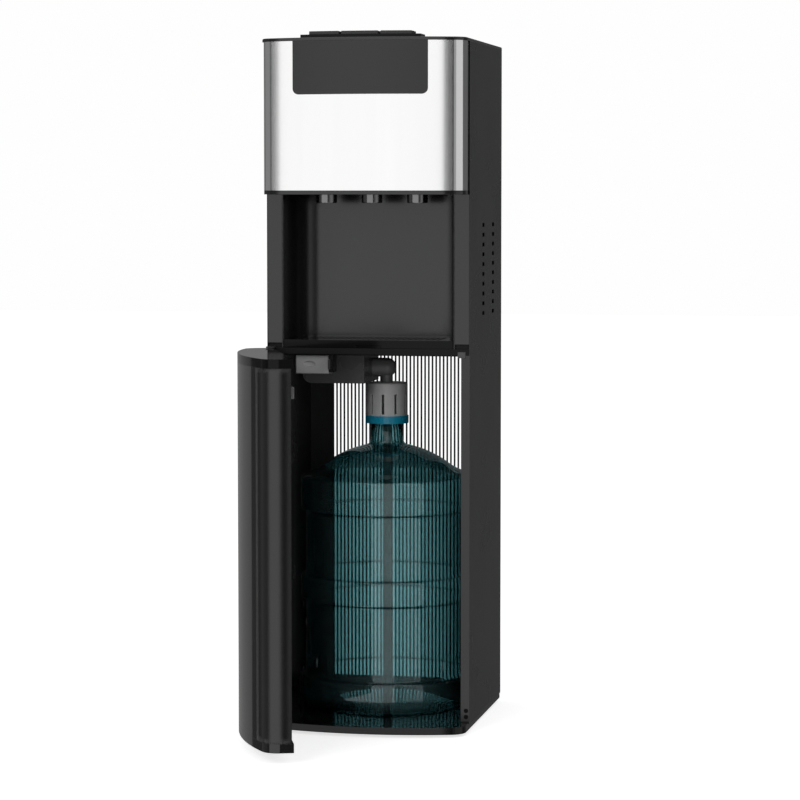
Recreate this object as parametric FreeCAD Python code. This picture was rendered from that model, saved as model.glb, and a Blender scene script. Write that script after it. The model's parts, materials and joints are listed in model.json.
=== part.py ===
import FreeCAD, Part
import math
import os

# Bottom load water cooler, in millimetres. Origin on the floor under the middle of the cabinet.
# +X is to the right seen from the front, the front faces -Y, +Z is up.

# Cabinet
width = 316.0
depth = 292.0
sheet = 1.0
flange_width = 13.5
foot_height = 5.0
slab_thickness = 11.0
panel_step = 2.5
bow_depth = 68.5
bow_rise = 27.5
bow_corner = 26.0
lid_thickness = 5.0

# Heights of the zones, from the floor slab up
ceiling_level = 578.0
ceiling_thickness = 2.0
beam_thickness = 9.5
tray_height = 12.2
alcove_height = 222.0
lip_thickness = 6.0
fascia_height = 224.0

# Clearances
seat_gap = 0.3
slide_gap = 1.2
pin_gap = 0.05
bore_gap = 0.2

# Feet
foot_radius = 15.0
stud_radius = 4.0
stud_height = 7.0
foot_inset = 34.0

# Door, drawn shut and then swung open about its pins
door_inset = 1.0
door_lift = 1.5
door_top_drop = 0.5
door_standoff = 1.5
door_wall = 2.5
rail_height = 13.5
rail_proud = 3.0
hinge_inset = 5.0
hinge_round = 4.0
pin_radius = 2.5
pin_reach = 9.0
bracket_plate = 2.0
bracket_reach = 8.0
rest_angle = 71.0
strip_width = 39.0
strip_groove = 1.2
seam_backing = 12.0
latch_width = 13.0
latch_height = 17.5
latch_reach = 6.0
latch_level = 529.0
catch_width = 12.0
catch_height = 9.0
catch_drop = 4.4
catch_thickness = 1.0

# Side panel openings
vent_rows = 10
vent_pitch = 15.2
vent_level = 635.0
vent_length = 20.0
vent_height = 6.0
vent_front = -25.0
vent_rear = 65.0
key_level = 76.0
key_height = 13.0
key_width = 6.0
key_place = -67.0

# Rear grille
grille_thickness = 2.0
slot_pitch = 6.1
slot_width = 3.5
slot_margin = 19.0
slot_headroom = 14.0
slot_side_margin = 24.5

# Alcove and tray
column_width = 25.2
liner_wall = 1.8
alcove_depth = 120.0
alcove_corner = 39.0
column_depth = 12.0
chin_drop = 7.5
chin_setback = 4.0
tray_wall = 2.2
grille_plate = 3.0
bar_pitch = 9.0
bar_slot = 5.0

# Spouts
spout_pitch = 71.0
spout_radius = 16.0
spout_drop = 13.2
spout_bore = 5.0
spout_stem = 9.0
spout_place = 31.0
valve_size = 24.0
valve_height = 28.0

# Fascia, badge and buttons
fascia_inset = 2.0
fascia_wall = 1.2
badge_width = 207.0
badge_height = 80.0
badge_corner = 9.0
badge_thickness = 2.5
surround_width = 184.0
surround_depth = 46.0
surround_setback = 5.0
surround_rise = 4.5
surround_floor = 2.5
outer_button = 46.5
middle_button = 56.0
button_web = 4.0
button_gap = 0.6
button_rise = 5.0
button_body = 19.0
button_travel = 4.0
spring_solid = 4.0
spring_radius = 6.0
spring_wire = 0.8

# Bottle and its probe
bottle_clear = 10.0
ring_depth = 8.0
bottle_wall = 1.5
bottle_bottom = 12.0
ring_levels = (68.9, 163.8, 213.6, 311.3)
ring_taper = 7.0
shoulder_start = 360.0
shoulder_radius = 82.0
shoulder_level = 394.0
neck_radius = 26.0
neck_level = 414.0
neck_height = 32.8
water_level = 384.0
probe_ring_radius = 34.0
probe_ring_height = 11.9
probe_cap_radius = 32.5
probe_cap_height = 52.1
probe_cap_wall = 3.0
cap_slots = 10
cap_slot_width = 3.8
cap_slot_height = 31.0
tube_radius = 6.5
tube_bore = 4.5
tube_clear = 8.0
nozzle_radius = 9.0
nozzle_length = 16.0
elbow_radius = 15.0
elbow_bore = 6.0

# Pump, probe holder and door switch, hung from the ceiling
pump_width = 98.0
pump_depth = 110.0
pump_height = 47.5
pump_corner = 14.0
pump_wall = 2.5
pump_side_gap = 22.0
pump_setback = 76.0
motor_radius = 17.0
motor_length = 60.0
holder_width = 52.0
holder_height = 29.0
holder_depth = 30.0
holder_offset = 28.5
holder_setback = 11.0
switch_width = 6.0
switch_height = 26.5
switch_depth = 26.0
plunger_width = 3.0
plunger_height = 15.0
plunger_travel = 5.0
plunger_length = 16.0
plunger_short = 0.6

# Tanks in the head
shelf_thickness = 1.2
shelf_flange = 12.0
coil_wall = 6.0
foam_wall = 10.0
foam_height = 175.0
foam_base = 12.0
tank_side_gap = 2.0
cold_place = -8.0
cold_radius = 64.0
cold_top_gap = 8.0
tank_wall = 1.0
coil_height = 110.0
hot_place = 10.0
hot_radius = 45.0
hot_height = 140.0
hot_foam_wall = 10.0
band_height = 30.0
band_wall = 3.0
thermostat_radius = 8.0
thermostat_height = 7.0

# Cooling circuit and back
back_recess = 27.0
compressor_radius = 56.0
compressor_height = 145.0
compressor_centre = 62.0
mount_radius = 9.0
mount_height = 12.0
mount_spread = 42.0
foot_plate = 2.5
drier_radius = 9.0
drier_length = 90.0
drier_stub = 10.0
drier_stub_radius = 3.0
drier_rise = 4.0
cradle_width = 10.0
cradle_thickness = 8.0
supply_radius = 5.0
supply_bend = 18.0
supply_headroom = 8.0
condenser_tube = 2.5
condenser_rows = 12
condenser_pitch = 28.0
condenser_span = 236.0
condenser_level = 655.0
condenser_wires = 13
wire_radius = 0.8
tab_width = 10.0
rocker_radius = 9.0
rocker_width = 12.0
rocker_pitch = 34.0
rocker_level = 1022.0
rocker_wall = 2.5
rocker_tilt = 8.0
inlet_width = 28.0
inlet_height = 20.0
inlet_level = 612.0
inlet_place = -40.0
drain_radius = 11.0
drain_length = 14.0
drain_level = 612.0
drain_offset = 52.0

# Fasteners
screw_head = 3.4
screw_rise = 0.3
screw_shank = 1.6
screw_length = 6.0
post_screw_levels = (18.0, 8.6)
post_screw_inset = 5.2
post_block_height = 30.0

# Derived places
front = -depth / 2
back = depth / 2
half = width / 2
inner = half - sheet
flange_edge = half - flange_width
slab_top = foot_height + slab_thickness
panel_bottom = slab_top - panel_step
beam_bottom = ceiling_level
beam_top = beam_bottom + beam_thickness
tray_bottom = beam_top + seat_gap
tray_top = beam_top + seat_gap + tray_height
lip_bottom = tray_top + alcove_height
lip_top = lip_bottom + lip_thickness
body_top = lip_top + fascia_height
lid_top = body_top + lid_thickness
bow_front = front - bow_depth
bow_radius = (half ** 2 + bow_rise ** 2) / (2 * bow_rise)
liner_inner = half - column_width
alcove_back = front + alcove_depth
back_plane = back - back_recess
door_bottom = slab_top + door_lift
door_top = beam_top - door_top_drop
door_back = front - door_standoff
panel_back = door_back - rail_proud
door_half = half - door_inset
pin_x = -door_half + hinge_inset
pin_y = door_back - hinge_inset
bottle_floor = slab_top
bottle_radius = depth / 2 - bottle_clear
bottle_waist = bottle_radius - ring_depth
rim_level = bottle_floor + neck_level + neck_height
probe_ring_top = rim_level + probe_ring_height
probe_cap_top = probe_ring_top + probe_cap_height
elbow_level = probe_cap_top + nozzle_length + elbow_radius / 2
pump_left = -pump_side_gap - pump_width
pump_front = front + pump_setback
drain_place = drain_offset - inner
holder_left = holder_offset - flange_edge
holder_front = front + holder_setback
compressor_place = (alcove_back + liner_wall + back_plane) / 2
foam_radius = cold_radius + coil_wall + foam_wall
cold_centre = tank_side_gap + foam_radius - inner
cold_height = foam_height - foam_base - foam_wall - cold_top_gap
hot_centre = inner - tank_side_gap - hot_radius - band_wall - hot_foam_wall
supply_x = pump_left + pump_width / 2
supply_y = back_plane - supply_bend


def box(x0, x1, y0, y1, z0, z1):
    return Part.makeBox(x1 - x0, y1 - y0, z1 - z0, FreeCAD.Vector(x0, y0, z0))


def rod(x, y, z, radius, length, direction=(0, 0, 1)):
    return Part.makeCylinder(radius, length, FreeCAD.Vector(x, y, z), FreeCAD.Vector(*direction))


def join(pieces):
    return pieces[0].multiFuse(pieces[1:]).removeSplitter() if len(pieces) > 1 else pieces[0]


def cut(shape, tools):
    return shape.cut(Part.makeCompound(tools))


def group(pieces):
    return Part.makeCompound(pieces)


def save(name, shape):
    shape.exportStep(os.path.join("parts", name + ".step"))


def arc_wire(points):
    """Close an outline: a pair is a corner, a triple is the middle of an arc to the next corner."""
    edges = []
    corners = [(i, p) for i, p in enumerate(points) if len(p) == 2]
    for k, (i, start) in enumerate(corners):
        j, end = corners[(k + 1) % len(corners)]
        a = FreeCAD.Vector(start[0], start[1], 0)
        b = FreeCAD.Vector(end[0], end[1], 0)
        between = points[i + 1] if i + 1 < len(points) else None
        if between is not None and len(between) == 3:
            edges.append(Part.Arc(a, FreeCAD.Vector(between[0], between[1], 0), b).toShape())
        else:
            edges.append(Part.LineSegment(a, b).toShape())
    return Part.Wire(edges)


def bow_block(half_width, y_back, inset, z0, z1, corner=bow_corner):
    """Block with a flat back and the bowed front of the cabinet, its outline drawn in by inset."""
    side = half_width
    radius = bow_radius - inset
    centre_y = bow_front + bow_radius
    corner = max(corner - inset, 1.0)
    corner_x = side - corner
    corner_y = centre_y - math.sqrt((radius - corner) ** 2 - corner_x ** 2)
    lean = math.atan2(corner_x, centre_y - corner_y)
    tangent_x = radius * math.sin(lean)
    tangent_y = centre_y - radius * math.cos(lean)
    middle = (math.pi / 2 + lean) / 2
    mid_x = corner_x + corner * math.sin(middle)
    mid_y = corner_y - corner * math.cos(middle)
    wire = arc_wire([
        (side, y_back),
        (-side, y_back),
        (-side, corner_y),
        (-mid_x, mid_y, 0),
        (-tangent_x, tangent_y),
        (0, centre_y - radius, 0),
        (tangent_x, tangent_y),
        (mid_x, mid_y, 0),
        (side, corner_y),
    ])
    block = Part.Face(wire).extrude(FreeCAD.Vector(0, 0, z1 - z0))
    block.translate(FreeCAD.Vector(0, 0, z0))
    return block


def rounded_block(x0, x1, y0, y1, z0, z1, radius, corners):
    """Box with some of its upright edges rounded; corners holds (x, y) pairs."""
    block = box(x0, x1, y0, y1, z0, z1)
    edges = []
    for edge in block.Edges:
        first, last = edge.Vertexes[0].Point, edge.Vertexes[-1].Point
        upright = abs(first.z - last.z) > 0.5 * (z1 - z0)
        if upright and any(math.hypot(first.x - x, first.y - y) < 0.01 for x, y in corners):
            edges.append(edge)
    return block.makeFillet(radius, edges)


def tube_along(points, radius, bend):
    """Round tube along straight runs joined by tangent arcs of one bend radius."""
    corners = [FreeCAD.Vector(*p) for p in points]
    edges = []
    start = corners[0]
    for before, corner, after in zip(corners, corners[1:], corners[2:]):
        to_corner = (corner - before).normalize()
        away = (after - corner).normalize()
        turn = to_corner.getAngle(away)
        setback = bend * math.tan(turn / 2)
        first = corner - to_corner * setback
        last = corner + away * setback
        inward = (away - to_corner).normalize()
        middle = corner + inward * (bend / math.cos(turn / 2) - bend)
        edges.append(Part.LineSegment(start, first).toShape())
        edges.append(Part.Arc(first, middle, last).toShape())
        start = last
    edges.append(Part.LineSegment(start, corners[-1]).toShape())
    path = Part.Wire(edges)
    direction = (corners[1] - corners[0]).normalize()
    profile = Part.Wire([Part.makeCircle(radius, corners[0], direction)])
    return path.makePipeShell([profile], True, False)


# Base and feet

def foot_places():
    x = half - foot_inset
    y = back - foot_inset
    return [(sx * x, sy * y) for sx in (-1, 1) for sy in (-1, 1)]


def post_blocks():
    """Blocks behind the feet of the posts that the post screws bite into."""
    blocks = []
    for sign in (-1, 1):
        x = sorted((sign * flange_edge, sign * (inner - seat_gap)))
        y0 = front + sheet
        blocks.append(box(*x, y0, y0 + screw_length + 2 * sheet, slab_top, slab_top + post_block_height))
    return blocks


def base_pan():
    slab = bow_block(half - door_inset, back - sheet, 0, foot_height, slab_top)
    steps = [
        box(side, side + 2 * sheet, front - seat_gap, back, panel_bottom, slab_top)
        for side in (inner, -inner - 2 * sheet)
    ]
    bores = [rod(x, y, foot_height, stud_radius + bore_gap, stud_height + 1) for x, y in foot_places()]
    for x, level in post_screw_places():
        bores.append(rod(x, front, level, screw_shank + bore_gap, screw_length + sheet, (0, 1, 0)))
    return cut(join([slab] + post_blocks()), steps + bores)


def levelling_feet():
    feet = []
    for x, y in foot_places():
        pad = rod(x, y, 0, foot_radius, foot_height)
        feet.append(join([pad, rod(x, y, 0, stud_radius, foot_height + stud_height)]))
    return group(feet)


def post_screw_places():
    x = half - post_screw_inset
    return [(sign * x, slab_top + level) for sign in (-1, 1) for level in post_screw_levels]


# Cabinet sides

def side_panel(sign):
    outer_x = sign * half
    inner_x = sign * inner
    edge_x = sign * flange_edge
    wall = box(min(outer_x, inner_x), max(outer_x, inner_x), front, back, panel_bottom, body_top)
    post_x = sorted((edge_x, outer_x))
    post = box(*post_x, front, front + sheet, slab_top + door_lift, ceiling_level)
    rear = box(*post_x, back - sheet, back, panel_bottom, body_top)
    panel = join([wall, post, rear])
    holes = []
    for row in range(vent_rows):
        level = vent_level + row * vent_pitch
        for place in (vent_front, vent_rear):
            x0 = min(outer_x, inner_x) - sheet
            y0 = place - vent_length / 2
            holes.append(box(x0, x0 + 3 * sheet, y0, y0 + vent_length, level, level + vent_height))
    x0 = min(outer_x, inner_x) - sheet
    key_y = key_place - key_width / 2
    holes.append(box(x0, x0 + 3 * sheet, key_y, key_y + key_width, key_level, key_level + key_height))
    for x, level in post_screw_places():
        holes.append(rod(x, front - sheet, level, screw_shank + bore_gap, 3 * sheet, (0, 1, 0)))
    return cut(panel, holes)


def post_screws():
    screws = []
    for x, z in post_screw_places():
        head = rod(x, front - screw_rise, z, screw_head, screw_rise, (0, 1, 0))
        shank = rod(x, front - screw_rise, z, screw_shank, screw_rise + screw_length, (0, 1, 0))
        arm = screw_shank * 0.8
        slit = screw_shank / 4
        depth = (front - 2 * screw_rise, front + screw_shank / 2)
        drive = [
            box(x - arm, x + arm, *depth, z - slit, z + slit),
            box(x - slit, x + slit, *depth, z - arm, z + arm),
        ]
        screws.append(cut(join([head, shank]), drive))
    return group(screws)


# Back

def rear_grille():
    reach = inner - seat_gap
    rear_face = back - sheet
    plate = box(-reach, reach, rear_face - grille_thickness, rear_face, slab_top, beam_bottom - ceiling_thickness)
    usable = 2 * (flange_edge - slot_side_margin)
    count = int(usable / slot_pitch)
    start = -(count - 1) * slot_pitch / 2
    low = slab_top + slot_margin
    high = beam_bottom - ceiling_thickness - slot_headroom
    slots = []
    for i in range(count):
        x = start + i * slot_pitch
        slots.append(box(x - slot_width / 2, x + slot_width / 2, rear_face - 2 * grille_thickness,
                         rear_face + 1, low, high))
    return cut(plate, slots)


def rocker_places():
    return [(k * rocker_pitch / 2, rocker_level) for k in (-1, 1)]


def condenser_tabs():
    """Tabs pressed out of the back that hold the condenser's bends."""
    y = back_plane + sheet
    reach = back_recess / 2 - condenser_tube
    tabs = []
    for row in (1, condenser_rows - 2):
        z = condenser_level + row * condenser_pitch
        for side in (-1, 1):
            x = side * (condenser_span / 2 - condenser_pitch * 0.7)
            tabs.append(box(x - tab_width / 2, x + tab_width / 2, y, y + reach, z - tab_width / 2, z + tab_width / 2))
    return tabs


def rear_upper_panel():
    reach = inner - seat_gap
    plate = box(-reach, reach, back_plane, back_plane + sheet, beam_bottom, body_top)
    rims = [
        box(-reach, reach, back_plane, back - sheet, body_top - sheet, body_top),
        box(-reach, reach, back_plane, back - sheet, beam_bottom, beam_bottom + sheet),
        box(-reach, -reach + sheet, back_plane, back - sheet, beam_bottom, body_top),
        box(reach - sheet, reach, back_plane, back - sheet, beam_bottom, body_top),
    ]
    holes = []
    for x, z in rocker_places():
        holes.append(box(x - rocker_width / 2 - rocker_wall, x + rocker_width / 2 + rocker_wall,
                         back_plane - 1, back_plane + sheet + 1,
                         z - rocker_radius - rocker_wall, z + rocker_radius + rocker_wall))
    holes.append(box(inlet_place - inlet_width / 2, inlet_place + inlet_width / 2, back_plane - 1,
                     back_plane + sheet + 1, inlet_level - inlet_height / 2, inlet_level + inlet_height / 2))
    holes.append(rod(drain_place, back_plane - 1, drain_level, drain_radius * 0.6, sheet + 2, (0, 1, 0)))
    return cut(join([plate] + rims + condenser_tabs()), holes)


def rocker_housings():
    housings = []
    for x, z in rocker_places():
        w = rocker_width / 2
        outer = box(x - w - rocker_wall, x + w + rocker_wall, back_plane - rocker_radius,
                    back_plane + sheet, z - rocker_radius - rocker_wall, z + rocker_radius + rocker_wall)
        bezel = box(x - w - 2 * rocker_wall, x + w + 2 * rocker_wall, back_plane + sheet,
                    back_plane + 2 * sheet, z - rocker_radius - 2 * rocker_wall,
                    z + rocker_radius + 2 * rocker_wall)
        room = rod(x - w - seat_gap, back_plane, z, rocker_radius + seat_gap, rocker_width + 2 * seat_gap, (1, 0, 0))
        trunnions = rod(x - w - 1.5, back_plane, z, 1.5, rocker_width + 3, (1, 0, 0))
        housings.append(cut(join([outer, bezel]), [room, trunnions]))
    return group(housings)


def rocker(x, z):
    w = rocker_width / 2
    drum = rod(x - w, back_plane, z, rocker_radius, rocker_width, (1, 0, 0))
    keep = box(x - w, x + w, back_plane - 3, back_plane + rocker_radius, z - rocker_radius, z + rocker_radius)
    body = drum.common(keep)
    dish = rod(x - w, back_plane + 3.2 * rocker_radius, z, 2.5 * rocker_radius, rocker_width, (1, 0, 0))
    pivot = rod(x - w - 1.3, back_plane, z, 1.5 - pin_gap, rocker_width + 2.6, (1, 0, 0))
    shape = join([body.cut(dish), pivot])
    shape.rotate(FreeCAD.Vector(x, back_plane, z), FreeCAD.Vector(1, 0, 0), rocker_tilt)
    return shape


def power_inlet():
    w = inlet_width / 2
    h = inlet_height / 2
    y = back_plane + sheet
    body = box(inlet_place - w, inlet_place + w, back_plane - 20, y, inlet_level - h, inlet_level + h)
    rim = box(inlet_place - w - 9, inlet_place + w + 9, y, y + 2.5, inlet_level - h - 2, inlet_level + h + 2)
    pocket = box(inlet_place - w + 2.5, inlet_place + w - 2.5, y - 16, y + 3, inlet_level - h + 2.5, inlet_level + h - 2.5)
    pins = [
        box(inlet_place + k * 7 - 1, inlet_place + k * 7 + 1, y - 17, y - 3, inlet_level - 2 + abs(1 - abs(k)) * 3,
            inlet_level + 2 + abs(1 - abs(k)) * 3)
        for k in (-1, 0, 1)
    ]
    return group([join([cut(join([body, rim]), [pocket])] + pins)])


def drain_cap():
    y = back_plane + sheet
    cap = rod(drain_place, y, drain_level, drain_radius, drain_length, (0, 1, 0))
    stem = rod(drain_place, y - 8, drain_level, drain_radius * 0.6 - bore_gap, 10, (0, 1, 0))
    ribs = []
    for k in range(12):
        turn = 2 * math.pi * k / 12
        ribs.append(rod(drain_place + drain_radius * math.cos(turn), y + 2,
                        drain_level + drain_radius * math.sin(turn), 1.2, drain_length, (0, 1, 0)))
    return cut(join([cap, stem]), ribs)


# Compartment ceiling, beam and alcove

def supply_hole(z, thickness):
    return rod(supply_x, supply_y, z - 1, supply_radius + bore_gap, thickness + 2)


def compartment_ceiling():
    """Ceiling of the bottle's room with the beam under the tray and the two chins beside it."""
    reach = inner - seat_gap
    z0 = ceiling_level - ceiling_thickness
    plate = box(-reach, reach, front + 2 * chin_setback, back - sheet, z0, ceiling_level)
    beam = box(-reach, reach, front, alcove_back + liner_wall, beam_bottom, beam_top)
    chins = []
    for sign in (-1, 1):
        x = sorted((sign * (liner_inner + liner_wall), sign * reach))
        chins.append(box(*x, front + chin_setback, front + column_depth, beam_top, beam_top + chin_drop))
    return cut(join([plate, beam] + chins), [supply_hole(z0, ceiling_thickness)])


def alcove_block(inset, z0, z1):
    """The alcove's plan, drawn in by inset, from the front plane to its back wall."""
    x = liner_inner - inset
    y = alcove_back - inset
    return rounded_block(-x, x, front, y, z0, z1, alcove_corner - inset, [(-x, y), (x, y)])


def alcove_liner():
    return alcove_block(-liner_wall, beam_top, lip_bottom).cut(alcove_block(0, beam_top, lip_bottom))


def alcove_columns():
    columns = []
    for sign in (-1, 1):
        x = sorted((sign * (liner_inner + liner_wall), sign * (inner - seat_gap)))
        columns.append(box(*x, front, front + column_depth, beam_top + chin_drop, lip_bottom))
    return group(columns)


def behind_front(setback):
    """Everything in the tray's zone that lies at least setback behind the front plane."""
    return box(-half, half, front + setback, back, tray_bottom, tray_top)


def drip_tray():
    outer = alcove_block(slide_gap, tray_bottom, tray_top)
    pocket = alcove_block(slide_gap + tray_wall, tray_bottom + tray_wall, tray_top)
    pocket = pocket.common(behind_front(tray_wall))
    ledge = tray_top - grille_plate
    seat = alcove_block(slide_gap + tray_wall / 2, ledge, tray_top)
    seat = seat.common(behind_front(tray_wall / 2))
    grip = box(-20, 20, front - 1, front + 1.2, tray_bottom, tray_bottom + 4)
    return cut(outer, [pocket, seat, grip])


def drip_grille():
    inset = slide_gap + tray_wall / 2 + seat_gap
    plate = alcove_block(inset, tray_top - grille_plate, tray_top)
    plate = plate.common(behind_front(tray_wall / 2 + seat_gap))
    length = alcove_depth - 2 * alcove_corner
    slots = []
    reach = liner_inner - 3 * bar_pitch
    count = int(2 * reach / bar_pitch)
    for i in range(count + 1):
        x = (i - count / 2) * bar_pitch
        y = front + alcove_depth / 2
        slots.append(box(x - bar_slot / 2, x + bar_slot / 2, y - length, y + length, tray_bottom, tray_top + 1))
    return cut(plate, slots)


# Head: ceiling of the dispenser, spouts, valves, tanks

def spout_places():
    return [(k * spout_pitch, front + spout_place) for k in (-1, 0, 1)]


def fascia_lip():
    plate = bow_block(half - fascia_inset, alcove_back + liner_wall, fascia_inset, lip_bottom, lip_top)
    bores = [rod(x, y, lip_bottom - 1, spout_stem + bore_gap, lip_thickness + 2) for x, y in spout_places()]
    return cut(plate, bores)


def spout(x, y):
    body = rod(x, y, lip_bottom - spout_drop, spout_radius, spout_drop)
    rim = [e for e in body.Edges if e.BoundBox.ZMax < lip_bottom - spout_drop + 0.1 and len(e.Vertexes) == 1]
    body = body.makeFillet(1.0, rim)
    stem = rod(x, y, lip_bottom, spout_stem, lip_thickness + valve_height / 3)
    return cut(join([body, stem]), [rod(x, y, lip_bottom - spout_drop - 1, spout_bore, spout_drop * 3)])


def faucet_valve(x, y):
    w = valve_size / 2
    body = box(x - w, x + w, y - w, y + w, lip_top, lip_top + valve_height)
    socket = rod(x, y, lip_top - 1, spout_stem + bore_gap, valve_height / 3 + 1 + seat_gap)
    coil = rod(x, y, lip_top + valve_height, w * 0.8, valve_height * 0.7)
    return join([body, coil]).cut(socket)


def machine_shelf(z):
    """Steel shelf behind the alcove with its side rims turned up against the cabinet walls."""
    reach = inner - seat_gap
    y0 = alcove_back + liner_wall + seat_gap
    plate = box(-reach, reach, y0, back_plane, z, z + shelf_thickness)
    rims = [
        box(*x, y0, back_plane, z, z + shelf_thickness + shelf_flange)
        for x in ((-reach, shelf_thickness - reach), (reach - shelf_thickness, reach))
    ]
    return cut(join([plate] + rims), [supply_hole(z, shelf_thickness)])


def machine_shelves():
    return group([machine_shelf(beam_bottom), machine_shelf(lip_top - shelf_thickness)])


def can(x, y, z, radius, height, wall):
    return rod(x, y, z, radius, height).cut(rod(x, y, z + wall, radius - wall, height - 2 * wall))


def cold_tank():
    return can(cold_centre, cold_place, lip_top + foam_base, cold_radius, cold_height, tank_wall)


def evaporator_coil():
    z = lip_top + foam_base + (cold_height - coil_height) / 2
    sleeve = rod(cold_centre, cold_place, z, foam_radius - foam_wall, coil_height)
    return sleeve.cut(rod(cold_centre, cold_place, z, cold_radius, coil_height))


def cold_tank_insulation():
    foam = rod(cold_centre, cold_place, lip_top, foam_radius, foam_height)
    room = rod(cold_centre, cold_place, lip_top + foam_base, foam_radius - foam_wall,
               foam_height - foam_base - foam_wall)
    x, y, z = supply_end()
    return cut(foam, [room, rod(x, y, z - foam_wall - 1, supply_radius + bore_gap, foam_wall + 2)])


def supply_end():
    return supply_x, cold_place + cold_radius / 2, lip_top + foam_height


def supply_pipe():
    x, y, z = supply_end()
    top = body_top - supply_headroom
    pump_back = pump_front + pump_depth
    pump_level = ceiling_level - ceiling_thickness - pump_height / 2
    points = [
        (supply_x, pump_back, pump_level),
        (supply_x, supply_y, pump_level),
        (supply_x, supply_y, top),
        (supply_x, y, top),
        (supply_x, y, lip_top + foam_base + cold_height),
    ]
    return tube_along(points, supply_radius, supply_bend)


def hot_tank():
    return can(hot_centre, hot_place, lip_top + foam_base, hot_radius, hot_height, tank_wall)


def hot_tank_insulation():
    outer = rod(hot_centre, hot_place, lip_top, hot_radius + band_wall + hot_foam_wall, foam_base + hot_height)
    room = rod(hot_centre, hot_place, lip_top + foam_base, hot_radius + band_wall, hot_height + 1)
    return outer.cut(room)


def band_heater():
    z = lip_top + foam_base + band_height
    band = rod(hot_centre, hot_place, z, hot_radius + band_wall, band_height)
    return band.cut(rod(hot_centre, hot_place, z, hot_radius, band_height))


def thermostats():
    z = lip_top + foam_base + hot_height
    discs = []
    for offset in (-1, 1):
        y = hot_place + offset * hot_radius / 2
        body = rod(hot_centre, y, z, thermostat_radius, thermostat_height)
        blades = [box(hot_centre + s * 5 - 0.4, hot_centre + s * 5 + 0.4, y - 2, y + 2,
                      z + thermostat_height, z + thermostat_height + 6) for s in (-1, 1)]
        discs.append(join([body] + blades))
    return discs


# Cooling circuit

def compressor_feet():
    return [
        (compressor_centre + sx * mount_spread, compressor_place + sy * mount_spread)
        for sx in (-1, 1) for sy in (-1, 1)
    ]


def compressor_mounts():
    z = beam_bottom + shelf_thickness
    return group([rod(x, y, z, mount_radius, mount_height) for x, y in compressor_feet()])


def compressor():
    z = beam_bottom + shelf_thickness + mount_height
    spread = mount_spread + mount_radius
    plate = box(compressor_centre - spread, compressor_centre + spread, compressor_place - spread,
                compressor_place + spread, z, z + foot_plate)
    shell = rod(compressor_centre, compressor_place, z + foot_plate, compressor_radius, compressor_height)
    rims = [e for e in shell.Edges if len(e.Vertexes) == 1]
    shell = shell.makeFillet(compressor_radius * 0.4, rims)
    seam = rod(compressor_centre, compressor_place, z + compressor_height * 0.55, compressor_radius + 2, 4)
    return join([plate, shell, seam])


def filter_drier():
    reach = inner - seat_gap
    z = beam_bottom + shelf_thickness + drier_radius + drier_rise
    x = -reach + shelf_thickness + drier_radius + seat_gap
    y = compressor_place - drier_length / 2
    body = rod(x, y, z, drier_radius, drier_length, (0, 1, 0))
    ends = rod(x, y - drier_stub, z, drier_stub_radius, drier_length + 2 * drier_stub, (0, 1, 0))
    cradle = box(x - cradle_thickness / 2, x + cradle_thickness / 2, compressor_place - cradle_width / 2,
                 compressor_place + cradle_width / 2, beam_bottom + shelf_thickness, z)
    return join([body, ends, cradle])


def condenser():
    """Serpentine tube behind the recessed back, crossed by upright wires on both sides."""
    y = back_plane + sheet + back_recess / 2
    x = condenser_span / 2
    points = []
    for row in range(condenser_rows):
        z = condenser_level + row * condenser_pitch
        ends = [(-x, y, z), (x, y, z)]
        points += ends if row % 2 == 0 else ends[::-1]
    coil = tube_along(points, condenser_tube, condenser_pitch / 2 - 0.01)
    height = (condenser_rows - 1) * condenser_pitch
    wires = []
    reach = condenser_tube + wire_radius * 0.5
    for k in range(condenser_wires):
        wire_x = (k / (condenser_wires - 1) - 0.5) * (condenser_span - 2 * condenser_pitch)
        for side in (-1, 1):
            wires.append(rod(wire_x, y + side * reach, condenser_level - 6, wire_radius, height + 12))
    return join([coil] + wires)


# Fascia, badge, lid and buttons

def bow_shell(half_width, y_back, inset, wall, z0, z1):
    outer = bow_block(half_width, y_back, inset, z0, z1)
    return outer.cut(bow_block(half_width - wall, y_back, inset + wall, z0 - 1, z1 + 1))


def steel_fascia():
    return bow_shell(half - fascia_inset, front + 2 * column_depth, fascia_inset, fascia_wall, lip_top, body_top)


def control_badge():
    ring = bow_block(half, front, fascia_inset - badge_thickness, body_top - badge_height, body_top)
    ring = ring.cut(bow_block(half + 1, front + 1, fascia_inset, body_top - badge_height - 1, body_top + 1))
    w = badge_width / 2
    z0 = body_top - badge_height
    window = box(-w, w, bow_front - 2 * bow_depth, front, z0, body_top)
    edges = [e for e in window.Edges if e.BoundBox.ZMax < z0 + 0.1 and e.BoundBox.YLength > bow_depth]
    return ring.common(window.makeFillet(badge_corner, edges))


def surround_front():
    return bow_front + surround_setback


def button_widths():
    return outer_button, middle_button, outer_button


def button_spans():
    widths = button_widths()
    total = sum(widths) + 2 * button_web
    x = -total / 2
    spans = []
    for button_width in widths:
        spans.append((x, x + button_width))
        x += button_width + button_web
    return spans


def button_floor():
    return lid_top + surround_rise + button_rise - button_body - button_travel - spring_solid


def surround_block(grow, z0, z1):
    w = surround_width / 2 + grow
    y0 = surround_front()
    block = bow_block(half, y0 + surround_depth + grow, surround_setback - grow, z0, z1)
    return block.common(box(-w, w, y0 - grow, y0 + surround_depth + grow, z0, z1))


def button_surround():
    block = surround_block(0, button_floor() - surround_floor, lid_top + surround_rise)
    y0 = surround_front()
    pockets = []
    for x0, x1 in button_spans():
        room = bow_block(half, y0 + surround_depth - surround_floor, surround_setback + surround_floor,
                         button_floor(), lid_top + 2 * surround_rise)
        pockets.append(room.common(box(x0 - button_gap / 2, x1 + button_gap / 2, 2 * bow_front, back, 0, 2 * lid_top)))
    return cut(block, pockets)


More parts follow.
